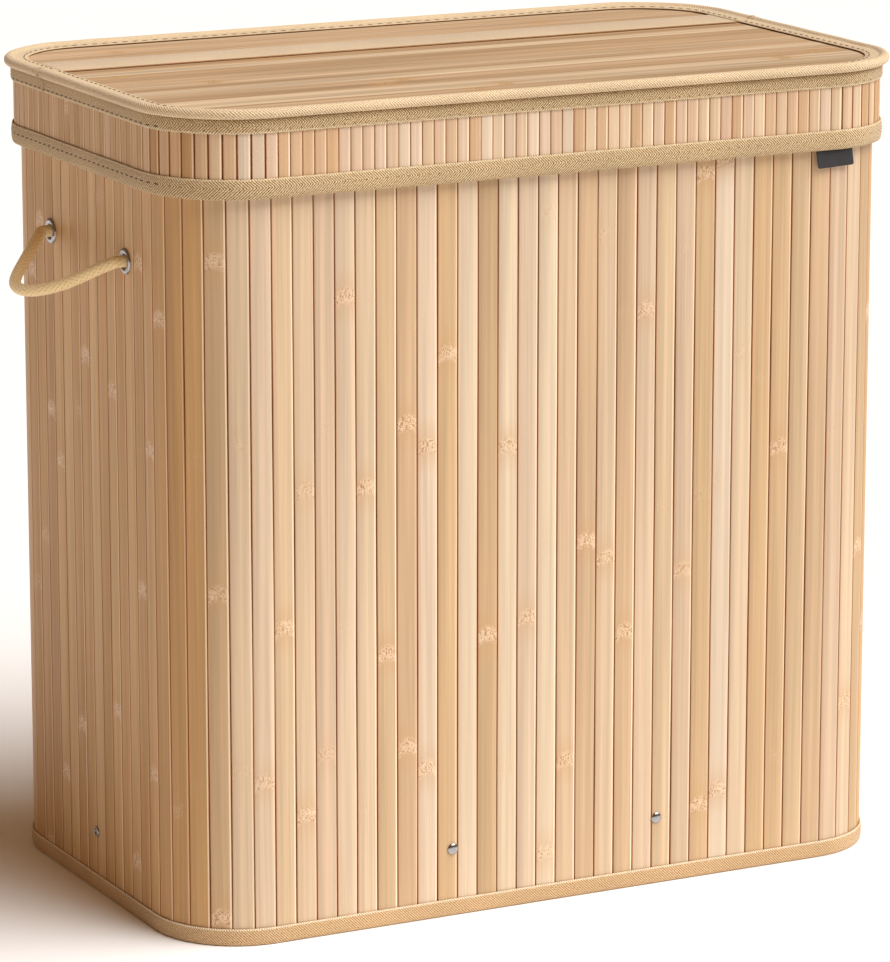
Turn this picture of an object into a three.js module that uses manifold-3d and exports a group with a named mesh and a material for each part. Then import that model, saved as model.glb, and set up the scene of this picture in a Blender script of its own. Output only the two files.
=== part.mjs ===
// Bamboo laundry hamper: a rectangular tub of upright slats on a cloth backing, a lift-off lid
// whose front panel flips up, two rope handles, and a cloth liner with two compartments.
// Millimetres, +X along the front, +Y to the back, +Z up, origin at the middle of the footprint.
import * as THREE from 'three';
import { mergeVertices } from 'three/addons/utils/BufferGeometryUtils.js';
import Module from 'manifold-3d';

const wasm = await Module();
wasm.setup();

// Driving dimensions
const LENGTH = 586;            // outside of the slats, left to right
const DEPTH = 350;             // outside of the slats, front to back
const CORNER = 65;             // corner radius of the slat wall
const HEIGHT = 610;            // floor to the top of the rolled rim
const GAP = 0.3;               // clearance between pieces that touch

const MAT_SLATS = 108;         // upright slats round the tub
const SLAT_THICK = 2.2;
const BACKING_THICK = 0.7;
const TAPE_THICK = 0.5;        // cloth binding over the mat's hidden top edge
const BINDING_THICK = 1.0;     // cloth binding everywhere else
const BOTTOM_BINDING_TALL = 12.5;
const TOP_BINDING_TALL = 14;

const LID_SLATS = 188;         // narrower slats round the lid's skirt
const LID_SLAT_THICK = 1.9;
const LID_FACE = 6.5;          // how far the lid's bindings stand out from the slat wall
const SKIRT_BOTTOM = 545.5;
const LOWER_BINDING_TALL = 14.5;
const UPPER_BAND_TALL = 10.2;
const ROLL_THICK = 7.5;        // height of the rolled edge round the lid's top
const ROLL_CORE = 1.5;         // width of the roll's flat middle
const PANEL_BOARD_THICK = 3.6;
const PANEL_SLAT_THICK = 2.3;
const PANEL_SLAT_PITCH = 16.3;
const CREASE_Y = 61;           // where the front flap folds
const HINGE_TAPE_WIDE = 42;

const LABEL_X = 213.5;         // left edge of the blank label
const LABEL_WIDE = 32;
const LABEL_TALL = 13;
const LABEL_OUT = 4.4;
const LABEL_TURN = 0.06;       // radians: it follows the start of the lid's corner

const HANDLE_Z = 488;
const EYELET_SPACING = 136;
const EYELET_BORE = 5.2;       // radius
const EYELET_FLANGE = 9.5;     // radius
const ROPE_RADIUS = 4.5;
const KNOT_RADIUS = 7.5;

const CROSS_ROD_X = 85.5;
const ROD_Z = 50.5;
const ROD_RADIUS = 2.5;
const CUP_WALL = 2;            // wall of the bracket's socket round a rod's end
const RIVET_RADIUS = 4.3;
const BOARD_THICK = 3.4;

const LINER_THICK = 1.2;
const LINER_OFFSET = -5.2;     // liner's outer face, in from the slat wall
const LINER_END_IN = 24;       // the short sides hang clear of the rope knots
const LINER_TOP = 586;

// Handle rope from the axis by its back eyelet to the middle of the loop: out from the wall,
// along the wall from the middle, and up. The other half mirrors it.
const ROPE_ROUTE = [
  [6.4, 68, 0], [10.6, 65.6, -1.7], [15.4, 60.6, -4.7], [23.8, 51.8, -10.6],
  [34, 41, -17.4], [44, 28.5, -22.8], [51, 15, -26], [53.4, 0, -27.2],
];

// Worked out from the driving dimensions
const rollBottom = HEIGHT - ROLL_THICK;
const skirtTop = rollBottom - GAP;
const panelTop = HEIGHT - 4;
const panelSlatBottom = panelTop - PANEL_SLAT_THICK;
const boardTop = panelSlatBottom - GAP;
const boardBottom = boardTop - PANEL_BOARD_THICK;
const matTopBindingTop = boardBottom - GAP;
const skirtSlatOut = LID_FACE - BINDING_THICK - GAP;
const skirtBackOut = skirtSlatOut - LID_SLAT_THICK - GAP;
const skirtInnerOut = skirtBackOut - BACKING_THICK - GAP;
const LID_INNER_THICK = 0.8;
const backingOut = -SLAT_THICK - GAP;
const innerLegOut = backingOut - BACKING_THICK - GAP;
const longRodZ = ROD_Z - 2 * ROD_RADIUS - GAP;
const baseBottom = ROD_Z + ROD_RADIUS + CUP_WALL + GAP;
const baseTop = baseBottom + BOARD_THICK;

const cloth = (color) => new THREE.MeshStandardMaterial({ color, roughness: 0.9, metalness: 0 });
const materials = {
  bamboo: new THREE.MeshStandardMaterial({ color: 0xdcba95, roughness: 0.55, metalness: 0 }),
  lidBamboo: new THREE.MeshStandardMaterial({ color: 0xd2b390, roughness: 0.55, metalness: 0 }),
  binding: cloth(0xcdb088),
  backing: cloth(0xd8c6a6),
  rope: cloth(0xd9b576),
  liner: cloth(0xe9e1d0),
  label: cloth(0x2b2b2e),
  board: new THREE.MeshStandardMaterial({ color: 0xb59a73, roughness: 0.8, metalness: 0 }),
  steel: new THREE.MeshStandardMaterial({ color: 0xb9bbbd, roughness: 0.3, metalness: 1 }),
  plastic: new THREE.MeshStandardMaterial({ color: 0xe6ddc8, roughness: 0.6, metalness: 0 }),
};

const hamper = new THREE.Group();

// Turns a closed three.js geometry into a solid for cutting and joining.
function solid(geometry) {
  const bare = geometry.clone();
  bare.deleteAttribute('normal');
  bare.deleteAttribute('uv');
  const merged = mergeVertices(bare, 1e-4);
  return new wasm.Manifold(new wasm.Mesh({
    numProp: 3,
    vertProperties: new Float32Array(merged.attributes.position.array),
    triVerts: new Uint32Array(merged.index.array),
  }));
}

function geometryOf(shape) {
  const raw = shape.getMesh();
  const geometry = new THREE.BufferGeometry();
  geometry.setAttribute('position', new THREE.BufferAttribute(raw.vertProperties, 3));
  geometry.setIndex(new THREE.BufferAttribute(raw.triVerts, 1));
  geometry.computeVertexNormals();
  return geometry;
}

function add(name, shape, material) {
  const geometry = shape.isBufferGeometry ? shape : geometryOf(shape);
  const mesh = new THREE.Mesh(geometry, material);
  mesh.name = name;
  hamper.add(mesh);
  return mesh;
}

// Rounded rectangle of the tub's plan, grown by an offset; the arcs share one set of angles.
function plan(offset, shorten = 0, Outline = THREE.Shape) {
  const x = LENGTH / 2 - CORNER - shorten;
  const y = DEPTH / 2 - CORNER;
  const r = CORNER + offset;
  const outline = new Outline();
  outline.moveTo(0, y + r);
  outline.lineTo(-x, y + r);
  outline.absarc(-x, y, r, Math.PI / 2, Math.PI, false);
  outline.lineTo(-x - r, -y);
  outline.absarc(-x, -y, r, Math.PI, Math.PI * 1.5, false);
  outline.lineTo(x, -y - r);
  outline.absarc(x, -y, r, Math.PI * 1.5, Math.PI * 2, false);
  outline.lineTo(x + r, y);
  outline.absarc(x, y, r, 0, Math.PI / 2, false);
  outline.lineTo(0, y + r);
  return outline;
}

function rise(shape, bottom, top, options = {}) {
  const settings = { depth: top - bottom, bevelEnabled: false, curveSegments: 5, ...options };
  const geometry = new THREE.ExtrudeGeometry(shape, settings);
  geometry.translate(0, 0, bottom);
  return solid(geometry);
}

const slab = (offset, bottom, top) => rise(plan(offset), bottom, top);

function ring(outer, inner, bottom, top) {
  const shape = plan(outer);
  shape.holes.push(plan(inner, 0, THREE.Path));
  return rise(shape, bottom, top);
}

function block(x0, x1, y0, y1, z0, z1) {
  const geometry = new THREE.BoxGeometry(x1 - x0, y1 - y0, z1 - z0);
  geometry.translate((x0 + x1) / 2, (y0 + y1) / 2, (z0 + z1) / 2);
  return solid(geometry);
}

// A cylinder along X or Y with its middle at a point.
function bar(axis, radius, length, centre, sides = 16) {
  const geometry = new THREE.CylinderGeometry(radius, radius, length, sides);
  if (axis === 'x') geometry.rotateZ(-Math.PI / 2);
  geometry.translate(...centre);
  return solid(geometry);
}

// Outline with one shallow V between neighbouring slats.
function slatPlan(count, out, grooveDepth, grooveWide) {
  const path = plan(0);
  const edge = (travel, offset) => {
    const u = ((travel % 1) + 1) % 1;
    const point = path.getPoint(u);
    const run = path.getTangent(u);
    return new THREE.Vector2(point.x + run.y * offset, point.y - run.x * offset);
  };
  const half = grooveWide / 2 / path.getLength();
  const outline = [];
  for (let i = 0; i < count; i += 1) {
    outline.push(edge(i / count + half, out));
    outline.push(edge((i + 1) / count - half, out));
    outline.push(edge((i + 1) / count, out - grooveDepth));
  }
  return new THREE.Shape(outline);
}

function slatRing(count, out, thick, bottom, top) {
  const shape = slatPlan(count, out, thick * 0.45, 1.2);
  shape.holes.push(plan(out - thick, 0, THREE.Path));
  return rise(shape, bottom, top);
}

// Cloth folded over an edge: an outer leg, an inner leg and the fold between them.
function binding(legs, bottom, top, foldAtTop, fold) {
  const body = ring(legs.outer, legs.inner, bottom, top);
  const from = foldAtTop ? bottom - 1 : bottom + fold;
  const to = foldAtTop ? top - fold : top + 1;
  return body.subtract(ring(legs.slotOuter, legs.slotInner, from, to));
}

function wallHoles() {
  const cuts = [];
  for (const side of [-1, 1]) {
    for (const end of [-1, 1]) {
      const y = (end * EYELET_SPACING) / 2;
      cuts.push(bar('x', EYELET_BORE + 1.4, 20, [(side * LENGTH) / 2, y, HANDLE_Z]));
    }
    cuts.push(bar('x', 1.9, 20, [(side * LENGTH) / 2, 0, longRodZ], 10));
    for (const face of [-1, 1]) {
      cuts.push(bar('y', 1.9, 20, [side * CROSS_ROD_X, (face * DEPTH) / 2, ROD_Z], 10));
    }
  }
  return cuts.reduce((all, cut) => all.add(cut));
}

function addTub() {
  const holes = wallHoles();
  const bottom = BINDING_THICK + GAP;
  const top = matTopBindingTop - BINDING_THICK - GAP;
  const slats = slatRing(MAT_SLATS, 0, SLAT_THICK, bottom, top);
  add('slat_mat', slats.subtract(holes), materials.bamboo);
  const backing = ring(backingOut, backingOut - BACKING_THICK, bottom, top);
  add('mat_backing', backing.subtract(holes), materials.backing);

  const slot = { slotOuter: GAP, slotInner: innerLegOut };
  const wide = { outer: GAP + BINDING_THICK, inner: innerLegOut - BINDING_THICK, ...slot };
  const slim = { outer: GAP + TAPE_THICK, inner: innerLegOut - TAPE_THICK, ...slot };
  const low = binding(wide, 0, BOTTOM_BINDING_TALL, false, BINDING_THICK);
  add('mat_bottom_binding', low, materials.binding);
  const high = binding(slim, matTopBindingTop - TOP_BINDING_TALL, matTopBindingTop, true,
    BINDING_THICK);
  add('mat_top_binding', high, materials.binding);

  const seamY = DEPTH / 2 + innerLegOut;
  const seam = block(-15, 15, seamY - BACKING_THICK, seamY, 66, 552);
  add('back_seam_tape', seam, materials.backing);
}

// Eyelet for a rope: a barrel through the wall with a flange on both sides.
function eyeletGeometry() {
  const inside = innerLegOut;
  const profile = [
    [EYELET_BORE, inside - 0.9], [EYELET_FLANGE - 0.6, inside - 0.9],
    [EYELET_FLANGE - 0.6, inside], [EYELET_BORE + 1, inside], [EYELET_BORE + 1, GAP],
    [EYELET_FLANGE, GAP], [EYELET_FLANGE - 0.8, 1.1], [EYELET_FLANGE - 2.2, 1.6],
    [EYELET_BORE + 0.7, 1.5], [EYELET_BORE, 0.9], [EYELET_BORE, inside - 0.9],
  ].map(([r, out]) => new THREE.Vector2(r, out));
  return new THREE.LatheGeometry(profile, 14);
}

function ropePoint([out, along, up], side) {
  return new THREE.Vector3(side * (LENGTH / 2 + out), along, HANDLE_Z + up);
}

function ropeLoop(side) {
  const back = ROPE_ROUTE.map((place) => ropePoint(place, side));
  const front = ROPE_ROUTE.slice(0, -1).reverse()
    .map(([out, along, up]) => ropePoint([out, -along, up], side));
  const curve = new THREE.CatmullRomCurve3([...back, ...front]);
  const section = new THREE.Shape();
  section.absarc(0, 0, ROPE_RADIUS, 0, Math.PI * 2, false);
  const tube = new THREE.ExtrudeGeometry(section, {
    steps: 18, curveSegments: 5, bevelEnabled: false, extrudePath: curve,
  });
  let rope = solid(tube);
  for (const point of [back[0], front[front.length - 1]]) {
    const end = new THREE.SphereGeometry(ROPE_RADIUS, 8, 6);
    end.translate(point.x, point.y, point.z);
    rope = rope.add(solid(end));
  }
  return rope;
}

function ropeKnot(side, y) {
  const wall = (side * LENGTH) / 2;
  const stubOut = 1.6;
  const knotIn = -innerLegOut + 0.9 + GAP + KNOT_RADIUS;
  const knot = new THREE.SphereGeometry(KNOT_RADIUS, 10, 6);
  knot.scale(1, 1.15, 1);
  knot.translate(wall - side * knotIn, y, HANDLE_Z);
  const length = knotIn + stubOut;
  const middle = wall + side * (stubOut - length / 2);
  const stub = bar('x', ROPE_RADIUS, length, [middle, y, HANDLE_Z], 10);
  return solid(knot).add(stub);
}

function addHandles() {
  for (const [side, word] of [[-1, 'left'], [1, 'right']]) {
    for (const [end, place] of [[1, 'back'], [-1, 'front']]) {
      const y = (end * EYELET_SPACING) / 2;
      const eyelet = add(`eyelet_${word}_${place}`, eyeletGeometry(), materials.steel);
      eyelet.rotation.z = -side * (Math.PI / 2);
      eyelet.position.set((side * LENGTH) / 2, y, HANDLE_Z);
      add(`rope_knot_${word}_${place}`, ropeKnot(side, y), materials.rope);
    }
    add(`rope_handle_${word}`, ropeLoop(side), materials.rope);
  }
}

// Domed rivet: its shank passes the wall into the bracket that holds a rod's end.
function rivetGeometry() {
  const shankEnd = innerLegOut - 1.2;
  const profile = [
    [0, shankEnd], [1.5, shankEnd], [1.5, GAP], [RIVET_RADIUS, GAP], [RIVET_RADIUS - 0.5, 1.0],
    [RIVET_RADIUS - 1.7, 1.7], [0, 2.0],
  ].map(([r, out]) => new THREE.Vector2(r, out));
  return new THREE.LatheGeometry(profile, 12);
}

// Bracket inside the wall: a plate round the rivet's shank and a socket for the rod's end.
function bracketGeometry() {
  const tall = 2 * (ROD_RADIUS + CUP_WALL);
  const disc = (radius, length, y) => (
    solid(new THREE.CylinderGeometry(radius, radius, length, 10).translate(0, y, 0))
  );
  const plate = solid(new THREE.BoxGeometry(18, 1.6, tall).translate(0, -0.8, 0));
  const socket = plate.add(disc(tall / 2, 12, -7));
  const bored = socket.subtract(disc(ROD_RADIUS + GAP, 12, -9.2));
  return geometryOf(bored.subtract(disc(1.8, 8, 0)));
}

function addRodEnd(word, x, y, z, turn) {
  const holder = add(`rod_bracket_${word}`, bracketGeometry(), materials.plastic);
  const inward = -innerLegOut;
  holder.rotation.z = turn;
  holder.position.set(x - inward * -Math.sin(turn), y - inward * Math.cos(turn), z);
  const rivet = add(`rivet_${word}`, rivetGeometry(), materials.steel);
  rivet.rotation.z = turn;
  rivet.position.set(x, y, z);
}

function addBase() {
  const rodEnd = -innerLegOut + 3.8;
  for (const [side, word] of [[-1, 'left'], [1, 'right']]) {
    const x = side * CROSS_ROD_X;
    const rod = bar('y', ROD_RADIUS, DEPTH - 2 * rodEnd, [x, 0, ROD_Z], 14);
    add(`cross_rod_${word}`, rod, materials.steel);
    addRodEnd(`back_${word}`, x, DEPTH / 2, ROD_Z, 0);
    addRodEnd(`front_${word}`, x, -DEPTH / 2, ROD_Z, Math.PI);
    addRodEnd(`side_${word}`, (side * LENGTH) / 2, 0, longRodZ, (-side * Math.PI) / 2);
  }
  const long = bar('x', ROD_RADIUS, LENGTH - 2 * rodEnd, [0, 0, longRodZ], 14);
  add('long_rod', long, materials.steel);
  add('base_board', slab(-8, baseBottom, baseTop), materials.board);
}

// Liner bag: straight sides, short ends set in past the knots, and a hem that flares to the wall.
function addLiner() {
  const floor = baseTop + GAP;
  const shoulder = LINER_TOP - 28;
  const outer = rise(plan(LINER_OFFSET, LINER_END_IN), floor, shoulder + 3);
  const inner = rise(plan(LINER_OFFSET - LINER_THICK, LINER_END_IN), floor + 1.5, shoulder + 4);
  const flare = slab(LINER_OFFSET, shoulder, LINER_TOP);
  const flareInner = slab(LINER_OFFSET - LINER_THICK, shoulder + 3, LINER_TOP + 1);
  const bag = outer.add(flare).subtract(inner).subtract(flareInner);
  add('liner_bag', bag, materials.liner);

  const half = DEPTH / 2 + LINER_OFFSET - LINER_THICK - GAP;
  const divider = block(-1, 1, -half, half, floor + 1.5 + GAP, shoulder - 8);
  add('liner_divider', divider, materials.liner);
  const band = ring(innerLegOut, innerLegOut - 1.2, LINER_TOP - 26, LINER_TOP - 4);
  add('liner_hook_band', band, materials.plastic);
}

// The rolled rim and its flat inner flange, cut in two at the crease.
function rolledRim() {
  const middle = LID_FACE + 1.25;
  const bevel = ROLL_THICK / 2 - ROLL_CORE / 2;
  const shape = plan(middle + ROLL_CORE / 2);
  shape.holes.push(plan(middle - ROLL_CORE / 2, 0, THREE.Path));
  const roll = rise(shape, rollBottom + bevel, HEIGHT - bevel, {
    bevelEnabled: true, bevelThickness: bevel, bevelSize: bevel, bevelSegments: 2,
  });
  const flange = ring(middle, -6, panelSlatBottom, panelSlatBottom + 1.3);
  return roll.add(flange);
}

// Top panel slats run along X; the profile across them has a V between neighbours.
function panelSlats(from, to) {
  const count = Math.round((to - from) / PANEL_SLAT_PITCH);
  const pitch = (to - from) / count;
  const profile = new THREE.Shape();
  profile.moveTo(from, panelSlatBottom);
  profile.lineTo(to, panelSlatBottom);
  profile.lineTo(to, panelTop);
  for (let i = count - 1; i > 0; i -= 1) {
    const y = from + i * pitch;
    profile.lineTo(y + 0.6, panelTop);
    profile.lineTo(y, panelTop - 1);
    profile.lineTo(y - 0.6, panelTop);
  }
  profile.lineTo(from, panelTop);
  profile.lineTo(from, panelSlatBottom);
  const geometry = new THREE.ExtrudeGeometry(profile, { depth: LENGTH, bevelEnabled: false });
  geometry.translate(0, 0, -LENGTH / 2);
  geometry.applyMatrix4(new THREE.Matrix4().makeBasis(
    new THREE.Vector3(0, 1, 0), new THREE.Vector3(0, 0, 1), new THREE.Vector3(1, 0, 0),
  ));
  const outline = slab(-6 - GAP, panelSlatBottom - 5, panelTop + 5);
  return solid(geometry).intersect(outline);
}

function addSkirt() {
  const foot = SKIRT_BOTTOM + BINDING_THICK + GAP;
  const head = skirtTop - BINDING_THICK - GAP;
  const slats = slatRing(LID_SLATS, skirtSlatOut, LID_SLAT_THICK, foot, head);
  add('lid_skirt_slats', slats, materials.lidBamboo);
  const backing = ring(skirtBackOut, skirtBackOut - BACKING_THICK, foot, head);
  add('lid_skirt_backing', backing, materials.backing);
  const legs = {
    outer: LID_FACE, slotOuter: LID_FACE - BINDING_THICK,
    slotInner: skirtInnerOut, inner: skirtInnerOut - LID_INNER_THICK,
  };
  const lowTop = SKIRT_BOTTOM + LOWER_BINDING_TALL;
  const low = binding(legs, SKIRT_BOTTOM, lowTop, false, BINDING_THICK);
  add('lid_lower_binding', low, materials.binding);
  const high = binding(legs, skirtTop - UPPER_BAND_TALL, skirtTop, true, BINDING_THICK);
  add('lid_upper_band', high, materials.binding);
}

function addLidTop() {
  const far = LENGTH;
  const behind = block(-far, far, CREASE_Y + GAP, far, 0, HEIGHT + 5);
  const ahead = block(-far, far, -far, CREASE_Y - GAP, 0, HEIGHT + 5);
  const rim = rolledRim();
  const board = slab(-1, boardBottom, boardTop);
  add('rear_rim_roll', rim.intersect(behind), materials.binding);
  add('rear_strip_board', board.intersect(behind), materials.board);
  const backEdge = DEPTH / 2 - 6 - GAP;
  add('rear_strip_slats', panelSlats(CREASE_Y + GAP, backEdge), materials.lidBamboo);
  const tapeHalf = LENGTH / 2 - 8;
  const tapeBack = CREASE_Y + GAP + HINGE_TAPE_WIDE;
  const tape = block(-tapeHalf, tapeHalf, CREASE_Y + GAP, tapeBack, panelTop + GAP,
    panelTop + GAP + 0.8);
  add('hinge_tape', tape, materials.binding);
  add('flap_rim_roll', rim.intersect(ahead), materials.binding);
  add('flap_board', board.intersect(ahead), materials.board);
  add('flap_slats', panelSlats(-backEdge, CREASE_Y - GAP), materials.lidBamboo);
}

// Blank cloth label sewn under the lower edge of the skirt.
function addLabel() {
  const label = add('blank_label', block(0, LABEL_WIDE, 0, 0.9, -LABEL_TALL, 0), materials.label);
  label.position.set(LABEL_X, -DEPTH / 2 - LABEL_OUT, SKIRT_BOTTOM - GAP);
  label.rotation.z = LABEL_TURN;
}

addTub();
addHandles();
addBase();
addLiner();
addSkirt();
addLidTop();
addLabel();

export default hamper;
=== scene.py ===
import math
import random

import bmesh
import bpy
from mathutils import Euler, Matrix, Vector, noise


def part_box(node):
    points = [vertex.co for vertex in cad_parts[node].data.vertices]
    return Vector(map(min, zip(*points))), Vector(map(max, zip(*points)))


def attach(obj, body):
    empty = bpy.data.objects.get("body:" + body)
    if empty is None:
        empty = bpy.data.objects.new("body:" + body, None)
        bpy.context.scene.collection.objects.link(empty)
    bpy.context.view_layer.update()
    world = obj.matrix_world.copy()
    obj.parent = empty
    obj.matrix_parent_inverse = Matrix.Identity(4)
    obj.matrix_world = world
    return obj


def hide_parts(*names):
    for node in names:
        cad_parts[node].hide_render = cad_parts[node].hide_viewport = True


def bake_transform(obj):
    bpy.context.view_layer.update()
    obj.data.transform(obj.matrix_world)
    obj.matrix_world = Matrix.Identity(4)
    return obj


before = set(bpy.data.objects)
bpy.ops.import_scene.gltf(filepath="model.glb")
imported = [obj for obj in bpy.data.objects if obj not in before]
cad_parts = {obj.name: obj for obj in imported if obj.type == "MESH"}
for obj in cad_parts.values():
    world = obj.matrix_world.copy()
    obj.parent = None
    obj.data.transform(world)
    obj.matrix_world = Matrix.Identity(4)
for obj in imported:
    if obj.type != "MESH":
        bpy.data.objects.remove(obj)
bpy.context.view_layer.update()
print("frame loaded:", len(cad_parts), "nodes")

mm = 0.001
matLow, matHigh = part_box("slat_mat")
halfLength, halfDepth, matTop = matHigh
cornerRadius = 65 * mm
straightX = halfLength - cornerRadius
straightY = halfDepth - cornerRadius
cornerRun = cornerRadius * math.pi / 2
planLength = 4 * (straightX + straightY + cornerRun)
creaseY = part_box("rear_rim_roll")[0][1]
flapBackY = creaseY - 0.6 * mm   # the flap stops just short of the crease
skirtLow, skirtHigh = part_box("lid_skirt_slats")
bandLow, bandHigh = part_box("lid_upper_band")
bindLow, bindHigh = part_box("lid_lower_binding")
rollLow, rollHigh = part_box("flap_rim_roll")
panelLow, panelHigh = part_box("flap_slats")
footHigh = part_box("mat_bottom_binding")[1]
rimLow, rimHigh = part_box("mat_top_binding")


def linearColor(code):
    parts = [int(code[i:i + 2], 16) / 255 for i in (1, 3, 5)]
    return [p / 12.92 if p <= 0.04045 else ((p + 0.055) / 1.055) ** 2.4 for p in parts] + [1]


def setNode(tree, node, settings):
    # a socket, or a node for its first output, is linked; anything else is set as a value
    for key, value in settings.items():
        if isinstance(value, bpy.types.Node):
            value = value.outputs[0]
        if isinstance(value, bpy.types.NodeSocket):
            tree.links.new(value, node.inputs[key])
        elif key == "stops":
            ramp = node.color_ramp
            while len(ramp.elements) < len(value):
                ramp.elements.new(1)
            for element, (place, code) in zip(ramp.elements, value):
                element.position = place
                element.color = linearColor(code)
        elif isinstance(key, int) or key in node.inputs:
            node.inputs[key].default_value = value
        else:
            setattr(node, key, value)


def addNode(tree, kind, settings=None):
    node = tree.nodes.new("ShaderNode" + kind)
    setNode(tree, node, settings or {})
    return node


def newMaterial(name, **shader):
    material = bpy.data.materials.new(name)
    material.use_nodes = True
    tree = material.node_tree
    surface = tree.nodes["Principled BSDF"]
    for key, value in shader.items():
        surface.inputs[key.replace("_", " ")].default_value = value
    return material, tree, surface


# camera

cameraSettings = {
    "place": (-1.7103, -3.3256, 1.154),
    "azimuth": -27.19,
    "pitch": -13.13,
    "lens": 189.2,
}


def addCamera(settings):
    data = bpy.data.cameras.new("camera")
    data.lens = settings["lens"]
    data.sensor_width = 36
    data.clip_start = 0.05
    data.clip_end = 40
    camera = bpy.data.objects.new("camera", data)
    bpy.context.scene.collection.objects.link(camera)
    turn = Euler((math.radians(90 + settings["pitch"]), 0, math.radians(settings["azimuth"])), "XYZ")
    camera.matrix_world = Matrix.Translation(settings["place"]) @ turn.to_matrix().to_4x4()
    bpy.context.scene.camera = camera


addCamera(cameraSettings)
bpy.context.scene.view_settings.view_transform = "Standard"


# materials

def bambooMaterial(name, tones, slatWide, knuckleGap, edgeShadeTone="#bf7c46", streak=(0.92, 1.05),
                   highlightLine=0.9, knuckleShare=0.42, flecks=None):
    # split bamboo, planed and thinly lacquered: satin, straight fibres, speckled knuckles
    material, tree, surface = newMaterial(name, Roughness=0.5, IOR=1.5, Coat_Weight=0.06,
                                          Coat_Roughness=0.35)
    uv = addNode(tree, "UVMap", {"uv_map": "slatUV"})
    split = addNode(tree, "SeparateXYZ", {0: uv})
    across, along = split.outputs[0], split.outputs[1]
    seed = addNode(tree, "Attribute", {"attribute_name": "slatSeed"}).outputs["Fac"]
    tone = addNode(tree, "ValToRGB", {"stops": tones, 0: seed})
    shiftSeed = addNode(tree, "Math", {"operation": "MULTIPLY", 1: 83.0, 0: seed})
    slatPlace = addNode(tree, "CombineXYZ", {0: across, 1: along, 2: shiftSeed})
    # fibres run the slat's length; the real ones are half a millimetre wide and are drawn coarser
    fibreScale = (slatWide / mm * 0.7, 4.0, 1.0)
    fibrePlace = addNode(tree, "VectorMath", {"operation": "MULTIPLY", 1: fibreScale, 0: slatPlace})
    fibre = addNode(tree, "TexNoise", {"Scale": 1.0, "Detail": 3.0, "Roughness": 0.6,
                                       "Vector": fibrePlace})
    fibreShade = addNode(tree, "MapRange", {1: 0.3, 2: 0.7, 3: streak[0], 4: streak[1], 0: fibre})
    # wide streaks and a slow change of tone along the slat
    slowScale = (3.2, 3.4, 1.0)
    slowPlace = addNode(tree, "VectorMath", {"operation": "MULTIPLY", 1: slowScale, 0: slatPlace})
    slow = addNode(tree, "TexNoise", {"Scale": 1.0, "Detail": 3.0, "Vector": slowPlace})
    slowShade = addNode(tree, "MapRange", {1: 0.3, 2: 0.7, 3: 2 * streak[0] - 1.02, 4: streak[1],
                                           0: slow})
    shade = addNode(tree, "Math", {"operation": "MULTIPLY", 0: fibreShade, 1: slowShade})
    grown = addNode(tree, "Mix", {"data_type": "RGBA", "blend_type": "MULTIPLY", 0: 1.0, 6: tone,
                                  7: shade})
    # knuckles: cells along the slat, some of them with a band of short pale and dark flecks
    cellPlace = addNode(tree, "Math", {"operation": "MULTIPLY_ADD", 1: 1 / knuckleGap, 0: along,
                                       2: shiftSeed})
    cell = addNode(tree, "Math", {"operation": "FLOOR", 0: cellPlace})
    cellKey = addNode(tree, "CombineXYZ", {0: cell, 1: seed})
    cellPick = addNode(tree, "TexWhiteNoise", {"noise_dimensions": "2D", "Vector": cellKey})
    present = addNode(tree, "MapRange", {1: 1 - knuckleShare, 2: 1.04 - knuckleShare, 3: 0.0, 4: 1.0,
                                         0: cellPick})
    within = addNode(tree, "Math", {"operation": "FRACT", 0: cellPlace})
    waveX = addNode(tree, "Math", {"operation": "MULTIPLY", 1: 3.0, 0: across})
    wave = addNode(tree, "Math", {"operation": "SINE", 0: waveX})
    bowed = addNode(tree, "Math", {"operation": "MULTIPLY_ADD", 1: -4 * mm / knuckleGap, 0: wave,
                                   2: within})
    off = addNode(tree, "Math", {"operation": "SUBTRACT", 1: 0.5, 0: bowed})
    farOff = addNode(tree, "Math", {"operation": "ABSOLUTE", 0: off})
    band = addNode(tree, "MapRange", {1: 7.5 * mm / knuckleGap, 2: 3 * mm / knuckleGap, 3: 0.0, 4: 1.0,
                                      0: farOff})
    knuckle = addNode(tree, "Math", {"operation": "MULTIPLY", 0: band, 1: present})
    halo = addNode(tree, "MapRange", {1: 22 * mm / knuckleGap, 2: 6 * mm / knuckleGap, 3: 0.0, 4: 0.35,
                                      0: farOff})
    haloHere = addNode(tree, "Math", {"operation": "MULTIPLY", 0: halo, 1: present})
    tanned = addNode(tree, "Mix", {"data_type": "RGBA", 7: linearColor("#cfa06c"), 0: haloHere,
                                   6: grown.outputs[2]})
    fleckScale = (slatWide / mm * 0.75, 430.0, 1.0)
    fleckPlace = addNode(tree, "VectorMath", {"operation": "MULTIPLY", 1: fleckScale, 0: slatPlace})
    fleck = addNode(tree, "TexNoise", {"Scale": 1.0, "Detail": 1.5, "Distortion": 1.4,
                                       "Vector": fleckPlace})
    fleckTone = addNode(tree, "ValToRGB", {"stops": flecks or paleFlecks, 0: fleck})
    fleckAmount = addNode(tree, "Math", {"operation": "MULTIPLY", 1: 0.8, 0: knuckle})
    knuckled = addNode(tree, "Mix", {"data_type": "RGBA", 0: fleckAmount, 6: tanned.outputs[2],
                                     7: fleckTone})
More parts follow.
